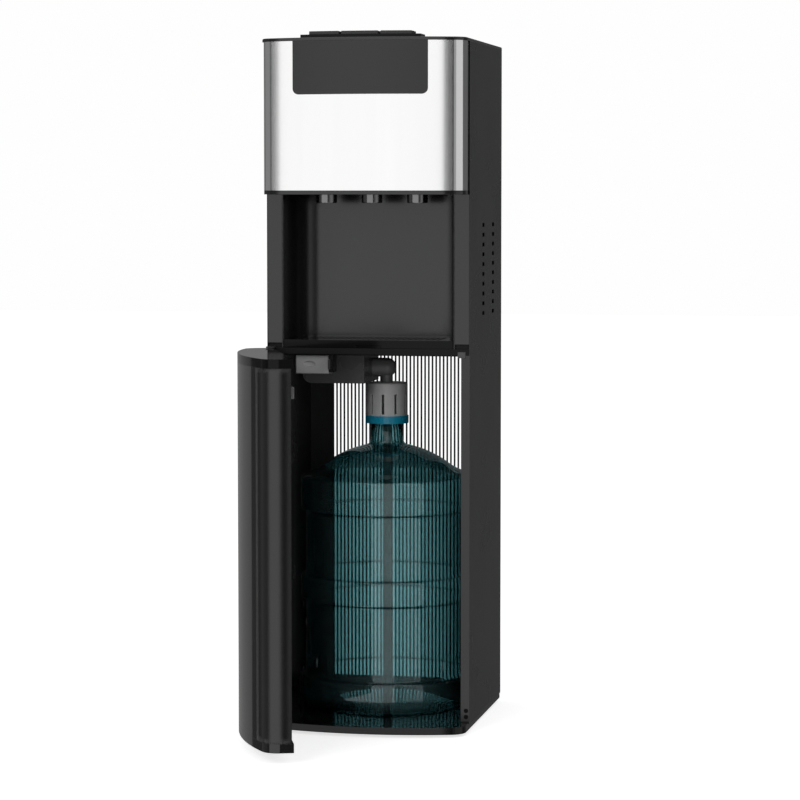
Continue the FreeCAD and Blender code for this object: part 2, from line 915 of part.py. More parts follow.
def push_button(x0, x1):
    top = lid_top + surround_rise + button_rise
    y_back = surround_front() + surround_depth - surround_floor - button_gap / 2
    block = bow_block(half, y_back, surround_setback + surround_floor + button_gap / 2, top - button_body, top)
    block = block.common(box(x0, x1, 2 * bow_front, back, 0, 2 * lid_top))
    edges = [e for e in block.Edges if e.BoundBox.ZMin > top - 0.1]
    return block.makeFillet(1.2, edges)


def button_spring(x0, x1):
    """Room of the coiled spring between the pocket's floor and the button, as a plain sleeve."""
    x = (x0 + x1) / 2
    y = surround_front() + surround_depth / 2
    z = button_floor() + seat_gap
    height = button_travel + spring_solid - 2 * seat_gap
    outer = rod(x, y, z, spring_radius + spring_wire, height)
    return outer.cut(rod(x, y, z, spring_radius - spring_wire, height))


def top_lid():
    plate = bow_block(half, back, 0, body_top, lid_top)
    edges = [e for e in plate.Edges if e.BoundBox.ZMin > lid_top - 0.1]
    plate = plate.makeFillet(2.0, edges)
    return plate.cut(surround_block(seat_gap, body_top - 1, lid_top + 1))


# Door, drawn shut

def swing(shape):
    shape.rotate(FreeCAD.Vector(pin_x, pin_y, 0), FreeCAD.Vector(0, 0, -1), rest_angle)
    return shape


def door_block(wall, z0, z1):
    block = bow_block(door_half - wall, door_back, door_inset + wall, z0, z1)
    edges = []
    for edge in block.Edges:
        point = edge.Vertexes[0].Point
        upright = edge.BoundBox.ZLength > 0.5 * (z1 - z0)
        if upright and point.x < 0 and abs(point.y - door_back) < 0.01:
            edges.append(edge)
    return block.makeFillet(hinge_round, edges) if wall == 0 else block


def seam_x():
    return door_half - strip_width


def door_skin():
    z0 = door_bottom + rail_height
    z1 = door_top - rail_height
    skin = door_block(0, z0, z1).cut(door_block(door_wall, z0 - 1, z1 + 1))
    return skin


def door_outer_panel():
    side = box(-half, seam_x() - strip_groove / 2, 2 * bow_front, panel_back, 0, door_top)
    return swing(door_skin().common(side))


def door_edge_strip():
    side = box(seam_x() + strip_groove / 2, half, 2 * bow_front, panel_back, 0, door_top)
    return swing(door_skin().common(side))


def door_liner():
    w = door_half - door_wall
    z0 = door_bottom + rail_height
    z1 = door_top - rail_height
    plate = box(-w, w, panel_back - door_wall, panel_back, z0, z1)
    backing = box(seam_x() - seam_backing, seam_x() + seam_backing, panel_back - seam_backing, panel_back, z0, z1)
    return swing(join([plate, backing]))


def door_rail(z0, z1, pin_end, pocket):
    rail = door_block(0, z0, z1)
    room = door_block(door_wall, pocket[0], pocket[1])
    room = room.common(box(pin_x + 12, half, 2 * bow_front, door_back - door_wall, z0 - 1, z1 + 1))
    bore = rod(pin_x, pin_y, pin_end[0], pin_radius + pin_gap, pin_end[1] - pin_end[0])
    return cut(rail, [room, bore])


def catch_span():
    x1 = flange_edge + (half - flange_edge) / 2
    return x1 - catch_width, x1


def door_top_rail():
    z0 = door_top - rail_height
    pin = (door_top - pin_reach - 1, door_top + 1)
    return swing(door_rail(z0, door_top, pin, (z0 - 1, door_top - door_wall)))


def door_bottom_rail():
    z1 = door_bottom + rail_height
    pin = (door_bottom - 1, door_bottom + pin_reach + 1)
    return swing(door_rail(door_bottom, z1, pin, (door_bottom + door_wall, z1 + 1)))


def door_latch():
    x1 = flange_edge - sheet
    block = box(x1 - latch_width, x1, panel_back, panel_back + latch_reach, latch_level, latch_level + latch_height)
    edges = [e for e in block.Edges if e.BoundBox.YMin > panel_back + latch_reach - 0.1]
    return swing(block.makeChamfer(1.0, edges))


def striker_plate():
    x0, x1 = catch_span()
    z1 = beam_top - catch_drop
    return box(x0, x1, front - catch_thickness, front, z1 - catch_height, z1)


def hinge_bracket(z0, z1, y1, pin_z0, pin_z1):
    x0 = -inner + seat_gap
    x1 = pin_x + bracket_reach
    y0 = pin_y - bracket_reach
    plate = rounded_block(x0, x1, y0, y1, z0, z1, 3.0, [(x1, y0)])
    return join([plate, rod(pin_x, pin_y, pin_z0, pin_radius, pin_z1 - pin_z0)])


def hinge_bracket_top():
    return hinge_bracket(beam_top, beam_top + bracket_plate, front + chin_setback,
                         door_top - pin_reach, beam_top + bracket_plate)


def hinge_bracket_bottom():
    z1 = slab_top + door_lift - seat_gap
    return hinge_bracket(slab_top, z1, front - seat_gap, slab_top, door_bottom + pin_reach)


# Bottle and probe

def bottle_outline(inset):
    """Half section of the bottle, drawn in by inset, from the axis round to the neck."""
    floor = bottle_floor + inset
    wide = bottle_radius - inset
    waist = bottle_waist - inset
    low, mid_low, mid_high, high = (bottle_floor + level for level in ring_levels)
    shoulder = bottle_floor + shoulder_level - inset
    return [
        (0, floor),
        (wide - bottle_bottom, floor),
        (wide, floor + bottle_bottom),
        (wide, low),
        (waist, low + ring_taper),
        (waist, mid_low - ring_taper),
        (wide, mid_low),
        (wide, mid_high),
        (waist, mid_high + ring_taper),
        (waist, high - ring_taper),
        (wide, high),
        (wide, bottle_floor + shoulder_start),
        (shoulder_radius - inset, shoulder),
        (neck_radius - inset, bottle_floor + neck_level - inset / 2),
    ]


def turned(outline):
    points = [FreeCAD.Vector(r, 0, z) for r, z in outline]
    face = Part.Face(Part.makePolygon(points + points[:1]))
    return face.revolve(FreeCAD.Vector(0, 0, 0), FreeCAD.Vector(0, 0, 1), 360)


def water_bottle():
    outer = bottle_outline(0) + [(neck_radius, rim_level), (0, rim_level)]
    room = bottle_outline(bottle_wall) + [(neck_radius - bottle_wall, rim_level + 1), (0, rim_level + 1)]
    return turned(outer).cut(turned(room))


def drinking_water():
    inset = bottle_wall + bore_gap
    level = bottle_floor + water_level
    body = turned(bottle_outline(inset) + [(neck_radius - inset, level + 2 * neck_height), (0, level + 2 * neck_height)])
    below = rod(0, 0, 0, 2 * bottle_radius, level)
    return body.common(below).cut(rod(0, 0, 0, tube_radius + bore_gap, 2 * level))


def probe_ring():
    ring = rod(0, 0, rim_level, probe_ring_radius, probe_ring_height)
    ring = ring.cut(rod(0, 0, rim_level - 1, neck_radius - 2 * bottle_wall, probe_ring_height + 2))
    return ring


def probe_cap():
    z0 = probe_ring_top
    cap = rod(0, 0, z0, probe_cap_radius, probe_cap_height)
    rim = [e for e in cap.Edges if e.BoundBox.ZMin > probe_cap_top - 0.1 and len(e.Vertexes) == 1]
    cap = cap.makeFillet(3.0, rim)
    room = rod(0, 0, z0 - 1, probe_cap_radius - probe_cap_wall, probe_cap_height - probe_cap_wall + 1)
    hub = rod(0, 0, z0, 2 * tube_radius, probe_cap_height - probe_cap_wall)
    slots = []
    for k in range(cap_slots):
        slot = box(probe_cap_radius - 2 * probe_cap_wall, probe_cap_radius + 1, -cap_slot_width / 2,
                   cap_slot_width / 2, z0 + probe_cap_wall, z0 + probe_cap_wall + cap_slot_height)
        slot.rotate(FreeCAD.Vector(0, 0, 0), FreeCAD.Vector(0, 0, 1), 360 * (k + 0.5) / cap_slots)
        slots.append(slot)
    bore = rod(0, 0, z0 - 1, tube_radius + bore_gap, probe_cap_height + 2)
    return cut(join([cap.cut(room), hub]), slots + [bore])


def probe_tube():
    z0 = bottle_floor + tube_clear
    tube = rod(0, 0, z0, tube_radius, probe_cap_top - z0)
    notch = box(-tube_radius, tube_radius, -1.5, 1.5, z0 - 1, z0 + 6)
    return cut(tube, [rod(0, 0, z0 - 1, tube_bore, probe_cap_top), notch])


def probe_elbow():
    """Nozzle on the cap, turning level and running left into the pump housing."""
    end = pump_left + pump_width
    nozzle = rod(0, 0, probe_cap_top, nozzle_radius, nozzle_length + 1)
    drop = Part.makeCone(nozzle_radius + 2, elbow_radius, elbow_level - probe_cap_top - nozzle_length,
                         FreeCAD.Vector(0, 0, probe_cap_top + nozzle_length))
    knee = Part.makeSphere(elbow_radius, FreeCAD.Vector(0, 0, elbow_level))
    arm = rod(end, 0, elbow_level, elbow_radius, -end, (1, 0, 0))
    bores = [
        rod(0, 0, probe_cap_top - 1, elbow_bore, elbow_level - probe_cap_top + 1),
        rod(end - 1, 0, elbow_level, elbow_bore, 1 - end, (1, 0, 0)),
        Part.makeSphere(elbow_bore, FreeCAD.Vector(0, 0, elbow_level)),
    ]
    return cut(join([nozzle, drop, knee, arm]), bores)


# Pump, probe holder and door switch

def pump_housing():
    z1 = ceiling_level - ceiling_thickness
    x1 = pump_left + pump_width
    y1 = pump_front + pump_depth
    shell = box(pump_left, x1, pump_front, y1, z1 - pump_height, z1)
    low = [e for e in shell.Edges if e.BoundBox.ZMax < z1 - pump_height + 0.1 and e.BoundBox.YLength > pump_width]
    shell = shell.makeFillet(pump_corner, [e for e in low if e.BoundBox.XMax < pump_left + 0.1])
    room = box(pump_left + pump_wall, x1 - pump_wall, pump_front + pump_wall, y1 - pump_wall,
               z1 - pump_height + pump_wall, z1 + 1)
    inner_low = [e for e in room.Edges if e.BoundBox.ZMax < z1 - pump_height + pump_wall + 0.1
                 and e.BoundBox.XMax < pump_left + pump_wall + 0.1]
    room = room.makeFillet(pump_corner - pump_wall, inner_low)
    return shell.cut(room)


def pump_motor():
    z = ceiling_level - ceiling_thickness - motor_radius
    x = pump_left + pump_corner + motor_radius
    y = pump_front + pump_wall + seat_gap
    body = rod(x, y, z, motor_radius, motor_length, (0, 1, 0))
    head = box(x - motor_radius, x + motor_radius, y + motor_length, y + motor_length + 24,
               z - motor_radius + 4, z + motor_radius)
    return join([body, head])


def probe_holder():
    """Light grey box under the beam where the probe hangs while a bottle is changed."""
    x0 = holder_left
    y0 = holder_front
    z0 = beam_bottom - ceiling_thickness - holder_height
    block = box(x0, x0 + holder_width, y0, y0 + holder_depth, z0, z0 + holder_height)
    edges = [e for e in block.Edges if e.BoundBox.YMax < y0 + 0.1]
    block = block.makeFillet(2.0, edges)
    dimple = Part.makeSphere(holder_width / 2)
    matrix = FreeCAD.Matrix()
    matrix.scale(0.36, 0.12, 0.18)
    dimple = dimple.transformGeometry(matrix)
    dimple.translate(FreeCAD.Vector(x0 + holder_width * 0.42, y0, z0 + holder_height * 0.52))
    return block.cut(dimple)


def door_switch():
    x0 = holder_left + holder_width + seat_gap
    z1 = beam_bottom - ceiling_thickness
    w = switch_width + 2 * seat_gap
    body = box(x0, x0 + w, holder_front, holder_front + switch_depth, z1 - switch_height, z1)
    slot = box(*plunger_span(seat_gap), holder_front - 1, holder_front + plunger_length, *plunger_levels(seat_gap))
    return body.cut(slot)


def plunger_span(grow):
    x = holder_left + holder_width + 2 * seat_gap + switch_width / 2
    return x - plunger_width / 2 - grow, x + plunger_width / 2 + grow


def plunger_levels(grow):
    z1 = beam_bottom - ceiling_thickness - (switch_height - plunger_height) / 2
    return z1 - plunger_height - grow, z1 + grow


def switch_plunger():
    y0 = panel_back + plunger_short
    y1 = holder_front + plunger_length - plunger_travel - seat_gap
    return box(*plunger_span(0), y0, y1, *plunger_levels(0))


def main():
    os.makedirs("parts", exist_ok=True)
    save("base_pan", base_pan())
    save("levelling_feet", levelling_feet())
    save("left_side_panel", side_panel(-1))
    save("right_side_panel", side_panel(1))
    save("post_screws", post_screws())
    save("rear_grille", rear_grille())
    save("rear_upper_panel", rear_upper_panel())
    save("rocker_housings", rocker_housings())
    for name, place in zip(("left", "right"), rocker_places()):
        save("rocker_switch_" + name, rocker(*place))
    save("power_inlet", power_inlet())
    save("drain_cap", drain_cap())
    save("compartment_ceiling", compartment_ceiling())
    save("alcove_liner", alcove_liner())
    save("alcove_columns", alcove_columns())
    save("drip_tray", drip_tray())
    save("drip_grille", drip_grille())
    save("fascia_lip", fascia_lip())
    save("spouts", group([spout(*place) for place in spout_places()]))
    save("faucet_valves", group([faucet_valve(*place) for place in spout_places()]))
    save("machine_shelves", machine_shelves())
    save("cold_tank", cold_tank())
    save("evaporator_coil", evaporator_coil())
    save("tank_insulation", group([cold_tank_insulation(), hot_tank_insulation()]))
    save("supply_pipe", supply_pipe())
    save("hot_tank", hot_tank())
    save("heater_and_thermostats", group([band_heater()] + thermostats()))
    save("compressor_mounts", compressor_mounts())
    save("compressor", compressor())
    save("filter_drier", filter_drier())
    save("condenser", condenser())
    save("steel_fascia", steel_fascia())
    save("control_badge", control_badge())
    save("button_surround", button_surround())
    for name, span in zip(("left", "middle", "right"), button_spans()):
        save("push_button_" + name, push_button(*span))
        save("button_spring_" + name, button_spring(*span))
    save("top_lid", top_lid())
    save("door_outer_panel", door_outer_panel())
    save("door_edge_strip", door_edge_strip())
    save("door_liner", door_liner())
    save("door_top_rail", door_top_rail())
    save("door_bottom_rail", door_bottom_rail())
    save("door_latch", door_latch())
    save("striker_plate", striker_plate())
    save("hinge_brackets", group([hinge_bracket_top(), hinge_bracket_bottom()]))
    save("water_bottle", water_bottle())
    save("drinking_water", drinking_water())
    save("probe_ring", probe_ring())
    save("probe_cap", probe_cap())
    save("probe_tube", probe_tube())
    save("probe_elbow", probe_elbow())
    save("pump_housing", pump_housing())
    save("pump_motor", pump_motor())
    save("probe_holder", probe_holder())
    save("door_switch", door_switch())
    save("switch_plunger", switch_plunger())


main()
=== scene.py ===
import bmesh
import bpy
import json
import math
from mathutils import Euler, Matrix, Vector


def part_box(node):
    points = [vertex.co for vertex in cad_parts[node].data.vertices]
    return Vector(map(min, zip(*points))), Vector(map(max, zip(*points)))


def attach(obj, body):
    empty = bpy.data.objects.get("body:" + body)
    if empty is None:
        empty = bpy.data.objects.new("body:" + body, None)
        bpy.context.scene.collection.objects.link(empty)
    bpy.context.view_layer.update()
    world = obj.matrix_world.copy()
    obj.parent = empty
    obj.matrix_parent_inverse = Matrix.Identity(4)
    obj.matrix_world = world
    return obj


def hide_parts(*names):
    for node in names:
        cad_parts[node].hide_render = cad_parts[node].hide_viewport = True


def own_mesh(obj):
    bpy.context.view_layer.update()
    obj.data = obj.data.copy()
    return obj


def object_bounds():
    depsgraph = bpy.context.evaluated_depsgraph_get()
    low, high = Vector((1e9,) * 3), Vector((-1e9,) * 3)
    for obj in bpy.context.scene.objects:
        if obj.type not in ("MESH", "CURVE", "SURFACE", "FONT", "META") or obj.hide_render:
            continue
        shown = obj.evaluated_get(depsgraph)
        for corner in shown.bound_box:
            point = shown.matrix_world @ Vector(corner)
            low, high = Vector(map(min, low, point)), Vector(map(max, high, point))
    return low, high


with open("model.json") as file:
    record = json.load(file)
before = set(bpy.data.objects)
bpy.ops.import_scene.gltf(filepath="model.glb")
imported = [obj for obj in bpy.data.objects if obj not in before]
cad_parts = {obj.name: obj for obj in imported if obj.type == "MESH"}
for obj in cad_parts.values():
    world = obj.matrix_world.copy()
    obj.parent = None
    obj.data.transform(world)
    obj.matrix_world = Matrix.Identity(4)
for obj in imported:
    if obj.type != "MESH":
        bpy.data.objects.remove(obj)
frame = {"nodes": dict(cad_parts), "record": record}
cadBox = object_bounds()
print("frame loaded")

nodes = frame["nodes"]
scene = bpy.context.scene
scene.view_settings.view_transform = "Standard"

# Camera, from the corners of the cabinet in the photograph

cameraSet = {
    "place": (0.9185, -4.4925, 0.8252),
    "pitchDown": 4.0763,
    "yaw": 11.3008,
    "lens": 131.136,
    "sensor": 36.0,
    "farthest": 60.0,
}


def makeCamera():
    data = bpy.data.cameras.new("photoCamera")
    data.lens = cameraSet["lens"]
    data.sensor_width = cameraSet["sensor"]
    data.clip_end = cameraSet["farthest"]
    camera = bpy.data.objects.new("photoCamera", data)
    camera.location = cameraSet["place"]
    tilt = math.radians(90.0 - cameraSet["pitchDown"])
    camera.rotation_euler = Euler((tilt, 0.0, math.radians(cameraSet["yaw"])))
    scene.collection.objects.link(camera)
    scene.camera = camera


makeCamera()
print("camera made")


# Studio: pale floor, white surroundings, two soft lamps, and flags that only the gloss sees

studioSet = {
    "backgroundWhite": 0.99,
    "ambient": 0.42,
    "floorColour": (0.80, 0.80, 0.80),
    "floorRoughness": 0.9,
    "floorLift": 0.70,
    "floorSize": 30.0,
    "flagDistance": 12.0,
    "flagBottom": -11.0,
    "flagTop": 12.0,
    "flagStep": 4.0,
    "keyPlace": (-1.6, -4.2, 2.6),
    "keySize": 2.4,
    "keyPower": 70.0,
    "fillPlace": (3.2, -2.4, 2.2),
    "fillSize": 2.2,
    "fillPower": 30.0,
    "lampAim": (0.0, 0.0, 0.55),
}


def linkObject(name, mesh):
    made = bpy.data.objects.new(name, mesh)
    scene.collection.objects.link(made)
    return made


def seesBackground(tree):
    # 1 for camera, glossy and transmission rays, 0 for the light that falls on the object
    path = tree.nodes.new("ShaderNodeLightPath")
    first = tree.nodes.new("ShaderNodeMath")
    first.operation = "MAXIMUM"
    second = tree.nodes.new("ShaderNodeMath")
    second.operation = "MAXIMUM"
    tree.links.new(path.outputs["Is Camera Ray"], first.inputs[0])
    tree.links.new(path.outputs["Is Glossy Ray"], first.inputs[1])
    tree.links.new(first.outputs[0], second.inputs[0])
    tree.links.new(path.outputs["Is Transmission Ray"], second.inputs[1])
    return second.outputs[0]


def makeWorld():
    world = bpy.data.worlds.new("studioWorld")
    scene.world = world
    world.use_nodes = True
    tree = world.node_tree
    tree.nodes.clear()
    output = tree.nodes.new("ShaderNodeOutputWorld")
    mix = tree.nodes.new("ShaderNodeMixShader")
    lit = tree.nodes.new("ShaderNodeBackground")
    seen = tree.nodes.new("ShaderNodeBackground")
    white = studioSet["backgroundWhite"]
    lit.inputs["Color"].default_value = (1.0, 1.0, 1.0, 1.0)
    lit.inputs["Strength"].default_value = studioSet["ambient"]
    seen.inputs["Color"].default_value = (white, white, white, 1.0)
    tree.links.new(seesBackground(tree), mix.inputs["Fac"])
    tree.links.new(lit.outputs[0], mix.inputs[1])
    tree.links.new(seen.outputs[0], mix.inputs[2])
    tree.links.new(mix.outputs[0], output.inputs["Surface"])


def makePlane(name, size, place):
    mesh = bpy.data.meshes.new(name)
    half = size / 2
    corners = [(-half, -half, 0), (half, -half, 0), (half, half, 0), (-half, half, 0)]
    mesh.from_pydata(corners, [], [(0, 1, 2, 3)])
    plane = linkObject(name, mesh)
    plane.location = place
    return plane


def makeFloor():
    floor = makePlane("floor", studioSet["floorSize"], (0.0, 0.0, cadBox[0][2]))
    material = bpy.data.materials.new("paleFloor")
    material.use_nodes = True
    shader = material.node_tree.nodes["Principled BSDF"]
    shader.inputs["Base Color"].default_value = (*studioSet["floorColour"], 1.0)
    shader.inputs["Roughness"].default_value = studioSet["floorRoughness"]
    shader.inputs["Specular IOR Level"].default_value = 0.0
    # The lift brings the lit floor up to the white behind it and leaves the shadow on it
    tree = material.node_tree
    lift = tree.nodes.new("ShaderNodeEmission")
    level = tree.nodes.new("ShaderNodeMath")
    level.operation = "MULTIPLY"
    level.inputs[1].default_value = studioSet["floorLift"]
    tree.links.new(seesBackground(tree), level.inputs[0])
    tree.links.new(level.outputs[0], lift.inputs["Strength"])
    both = tree.nodes.new("ShaderNodeAddShader")
    tree.links.new(shader.outputs[0], both.inputs[0])
    tree.links.new(lift.outputs[0], both.inputs[1])
    tree.links.new(both.outputs[0], tree.nodes["Material Output"].inputs["Surface"])
    floor.data.materials.append(material)
    floor.visible_glossy = False


# Each flag: first and last bearing in degrees and its tone.
# A bearing of 0 is straight in front, and 90 is to the right.
flagSet = {
    "darkFlagRight": (21.5, 35.0, 0.060),
    "duskPanelRight": (35.0, 50.0, 0.30),
    "softPanelRight": (50.0, 108.0, 0.56),
    "darkFlagSideRight": (108.0, 190.0, 0.10),
    "softPanelBehindLeft": (-170.0, -130.0, 0.24),
    "darkPanelBehindLeft": (-130.0, -117.0, 0.07),
    "softPanelLeft": (-117.0, -62.0, 0.20),
    "darkFlagLeft": (-62.0, -45.5, 0.12),
}


def makeFlag(name, first, last, tone):
    # A curved upright screen around the object, seen in reflections only
    steps = max(2, round((last - first) / studioSet["flagStep"]))
    points = []
    for k in range(steps + 1):
        bearing = math.radians(first + (last - first) * k / steps)
        x = studioSet["flagDistance"] * math.sin(bearing)
        y = -studioSet["flagDistance"] * math.cos(bearing)
        points += [(x, y, studioSet["flagBottom"]), (x, y, studioSet["flagTop"])]
    faces = [(2 * k, 2 * k + 2, 2 * k + 3, 2 * k + 1) for k in range(steps)]
    mesh = bpy.data.meshes.new(name)
    mesh.from_pydata(points, [], faces)
    flag = linkObject(name, mesh)
    material = bpy.data.materials.new(name)
    material.use_nodes = True
    tree = material.node_tree
    glow = tree.nodes.new("ShaderNodeEmission")
    glow.inputs["Strength"].default_value = tone
    tree.links.new(glow.outputs[0], tree.nodes["Material Output"].inputs["Surface"])
    mesh.materials.append(material)
    flag.visible_camera = False
    flag.visible_diffuse = False
    flag.visible_transmission = False
    flag.visible_volume_scatter = False
    flag.visible_shadow = False


def makeLamp(name, place, size, power):
    data = bpy.data.lights.new(name, "AREA")
    data.size = size
    data.energy = power
    lamp = bpy.data.objects.new(name, data)
    lamp.location = place
    aim = Vector(studioSet["lampAim"]) - Vector(place)
    lamp.rotation_euler = aim.to_track_quat("-Z", "Y").to_euler()
    lamp.visible_glossy = False
    scene.collection.objects.link(lamp)


makeWorld()
makeFloor()
for flagName, (flagFirst, flagLast, flagTone) in flagSet.items():
    makeFlag(flagName, flagFirst, flagLast, flagTone)
makeLamp("keyLamp", studioSet["keyPlace"], studioSet["keySize"], studioSet["keyPower"])
makeLamp("fillLamp", studioSet["fillPlace"], studioSet["fillSize"], studioSet["fillPower"])
print("studio made")


# Materials. Each is built from nodes in object space, in metres.

noiseSet = {
    "lowest": 0.3,
    "highest": 0.7,
    "cloudDetail": 3.0,
    "grainDetail": 2.0,
    "edgeSamples": 4,
}


def newMaterial(name):
    material = bpy.data.materials.new(name)
    material.use_nodes = True
    tree = material.node_tree
    return material, tree, tree.nodes["Principled BSDF"]


def noiseOf(tree, scale, detail, stretch=(1.0, 1.0, 1.0)):
    place = tree.nodes.new("ShaderNodeTexCoord")
    mapping = tree.nodes.new("ShaderNodeMapping")
    mapping.inputs["Scale"].default_value = stretch
    noise = tree.nodes.new("ShaderNodeTexNoise")
    noise.inputs["Scale"].default_value = scale
    noise.inputs["Detail"].default_value = detail
    tree.links.new(place.outputs["Object"], mapping.inputs["Vector"])
    tree.links.new(mapping.outputs["Vector"], noise.inputs["Vector"])
    return noise.outputs["Fac"]


def spread(tree, factor, low, high):
    # Maps the middle of a noise to the range low to high
    reach = tree.nodes.new("ShaderNodeMapRange")
    reach.inputs["From Min"].default_value = noiseSet["lowest"]
    reach.inputs["From Max"].default_value = noiseSet["highest"]
    reach.inputs["To Min"].default_value = low
    reach.inputs["To Max"].default_value = high
    tree.links.new(factor, reach.inputs["Value"])
    return reach.outputs["Result"]


def mixColours(tree, factor, first, second):
    mix = tree.nodes.new("ShaderNodeMix")
    mix.data_type = "RGBA"
    mix.inputs[6].default_value = (*first, 1.0)
    mix.inputs[7].default_value = (*second, 1.0)
    tree.links.new(factor, mix.inputs[0])
    return mix.outputs[2]


def bumpOf(tree, height, depth, edge=0.0):
    bump = tree.nodes.new("ShaderNodeBump")
    bump.inputs["Distance"].default_value = depth
    tree.links.new(height, bump.inputs["Height"])
    if edge > 0.0:
        bevel = tree.nodes.new("ShaderNodeBevel")
        bevel.samples = noiseSet["edgeSamples"]
        bevel.inputs["Radius"].default_value = edge
        tree.links.new(bevel.outputs["Normal"], bump.inputs["Normal"])
    return bump.outputs["Normal"]


def surfaceMaterial(name, look):
    # One finish: two close tones, uneven gloss, a fine relief and softened edges
    material, tree, shader = newMaterial(name)
    stretch = look.get("stretch", (1.0, 1.0, 1.0))
    cloud = noiseOf(tree, look["cloudScale"], noiseSet["cloudDetail"], stretch)
    grain = noiseOf(tree, look["grainScale"], noiseSet["grainDetail"], stretch)
    tone = mixColours(tree, spread(tree, cloud, 0.0, 1.0), look["colour"], look["otherColour"])
    tree.links.new(tone, shader.inputs["Base Color"])
    tree.links.new(spread(tree, cloud, *look["roughness"]), shader.inputs["Roughness"])
    relief = bumpOf(tree, grain, look["grainDepth"], look.get("edge", 0.0))
    tree.links.new(relief, shader.inputs["Normal"])
    shader.inputs["Metallic"].default_value = look.get("metallic", 0.0)
    shader.inputs["Specular IOR Level"].default_value = look.get("specular", 0.5)
    return material


finishes = {
    "side_paint": {
        "colour": (0.010, 0.010, 0.0105), "otherColour": (0.012, 0.012, 0.0125), "cloudScale": 9.0,
        "roughness": (0.24, 0.29), "grainScale": 900.0, "grainDepth": 0.00003,
        "specular": 0.6, "edge": 0.0006,
    },
    "front_black": {
        "colour": (0.0080, 0.0080, 0.0082), "otherColour": (0.0100, 0.0100, 0.0102), "cloudScale": 6.0,
        "roughness": (0.05, 0.08), "grainScale": 160.0, "grainDepth": 0.000002,
        "specular": 0.68, "edge": 0.0008,
    },
    "badge_black": {
        "colour": (0.030, 0.030, 0.031), "otherColour": (0.034, 0.034, 0.035), "cloudScale": 12.0,
        "roughness": (0.46, 0.54), "grainScale": 1400.0, "grainDepth": 0.00004,
        "specular": 0.4, "edge": 0.0008,
    },
    "brushed_front": {
        "colour": (0.98, 0.98, 0.98), "otherColour": (0.95, 0.95, 0.95), "cloudScale": 30.0,
        "roughness": (0.09, 0.12), "grainScale": 700.0, "grainDepth": 0.000003, "metallic": 1.0,
        "stretch": (1.0, 1.0, 0.02),
    },
    "tank_steel": {
        "colour": (0.62, 0.62, 0.61), "otherColour": (0.52, 0.52, 0.52), "cloudScale": 40.0,
        "roughness": (0.22, 0.34), "grainScale": 600.0, "grainDepth": 0.00001, "metallic": 1.0,
        "stretch": (1.0, 1.0, 0.05), "edge": 0.0004,
    },
    "rear_paint": {
        "colour": (0.022, 0.022, 0.022), "otherColour": (0.030, 0.030, 0.030), "cloudScale": 14.0,
        "roughness": (0.38, 0.48), "grainScale": 700.0, "grainDepth": 0.00003, "specular": 0.4,
    },
    "zinc_sheet": {
        "colour": (0.55, 0.56, 0.57), "otherColour": (0.40, 0.41, 0.42), "cloudScale": 60.0,
        "roughness": (0.28, 0.42), "grainScale": 300.0, "grainDepth": 0.00001,
        "metallic": 0.9, "edge": 0.0004,
    },
    "inner_plastic": {
        "colour": (0.022, 0.022, 0.023), "otherColour": (0.030, 0.030, 0.032), "cloudScale": 18.0,
        "roughness": (0.34, 0.44), "grainScale": 800.0, "grainDepth": 0.00004,
        "specular": 0.45, "edge": 0.001,
    },
    "rocker_red": {
        "colour": (0.42, 0.015, 0.012), "otherColour": (0.36, 0.012, 0.010), "cloudScale": 50.0,
        "roughness": (0.20, 0.28), "grainScale": 900.0, "grainDepth": 0.00001, "edge": 0.0005,
    },
    "rocker_green": {
        "colour": (0.015, 0.20, 0.05), "otherColour": (0.012, 0.16, 0.04), "cloudScale": 50.0,
        "roughness": (0.20, 0.28), "grainScale": 900.0, "grainDepth": 0.00001, "edge": 0.0005,
    },
    "light_grey": {
        "colour": (0.30, 0.30, 0.30), "otherColour": (0.34, 0.34, 0.34), "cloudScale": 30.0,
        "roughness": (0.34, 0.42), "grainScale": 900.0, "grainDepth": 0.00002, "edge": 0.0008,
    },
    "teal_plastic": {
        "colour": (0.008, 0.280, 0.440), "otherColour": (0.010, 0.300, 0.470), "cloudScale": 30.0,
        "roughness": (0.24, 0.30), "grainScale": 600.0, "grainDepth": 0.00001, "edge": 0.0008,
    },
    "clear_tube": {
        "colour": (0.10, 0.17, 0.17), "otherColour": (0.13, 0.20, 0.20), "cloudScale": 25.0,
        "roughness": (0.25, 0.35), "grainScale": 500.0, "grainDepth": 0.00001, "edge": 0.0004,
    },
    "foam": {
        "colour": (0.76, 0.76, 0.74), "otherColour": (0.66, 0.66, 0.64), "cloudScale": 250.0,
        "roughness": (0.75, 0.9), "grainScale": 400.0, "grainDepth": 0.0004,
    },
    "copper": {
        "colour": (0.62, 0.28, 0.15), "otherColour": (0.45, 0.19, 0.10), "cloudScale": 40.0,
        "roughness": (0.20, 0.35), "grainScale": 300.0, "grainDepth": 0.00001, "metallic": 1.0,
    },
    "black_rubber": {
        "colour": (0.020, 0.020, 0.020), "otherColour": (0.028, 0.028, 0.028), "cloudScale": 40.0,
        "roughness": (0.70, 0.82), "grainScale": 1200.0, "grainDepth": 0.00005, "edge": 0.001,
    },
    "valve_plastic": {
        "colour": (0.68, 0.68, 0.65), "otherColour": (0.60, 0.60, 0.57), "cloudScale": 30.0,
        "roughness": (0.35, 0.45), "grainScale": 900.0, "grainDepth": 0.00002, "edge": 0.0006,
    },
}


